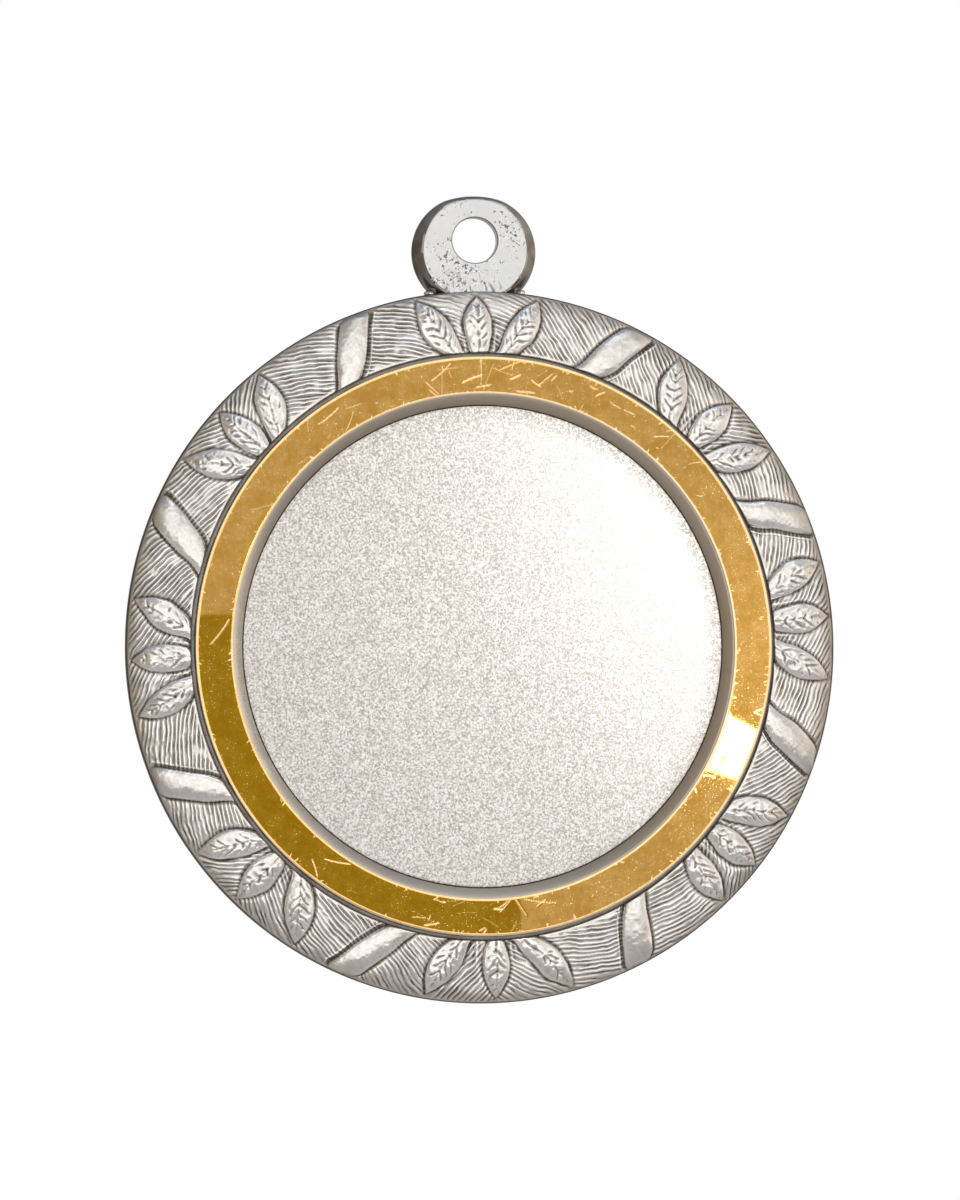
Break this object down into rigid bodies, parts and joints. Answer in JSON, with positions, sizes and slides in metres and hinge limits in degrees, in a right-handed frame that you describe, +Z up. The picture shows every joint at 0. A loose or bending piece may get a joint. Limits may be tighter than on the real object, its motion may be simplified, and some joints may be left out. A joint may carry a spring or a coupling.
{
  "type": "medal",
  "caption": "Round award medal with a cast leaf relief border, a flat gold ring, a recessed blasted centre disc and a soldered hanging lug.",
  "frame": {"origin": "centre of the lug's hole, half way through the lug's thickness; the medal hangs from it", "axes": "+Z up, from the medal's centre to the lug; -Y out of the medal's face; +X to the right of someone who looks at the face"},
  "size_m": [0.075, 0.005, 0.085],
  "materials": {
    "antique_silver": "satin",
    "bright_gold": "polished",
    "blasted_silver": "matte",
    "plated_silver": "satin",
    "solder": "satin",
    "adhesive": "matte"
  },
  "bodies": {
    "root": {"medal_body": "antique_silver", "gold_ring": "bright_gold", "ring_adhesive": "adhesive", "centre_disc": "blasted_silver", "disc_adhesive": "adhesive", "lug": "plated_silver", "lug_solder": "solder"}
  },
  "joints": []
}
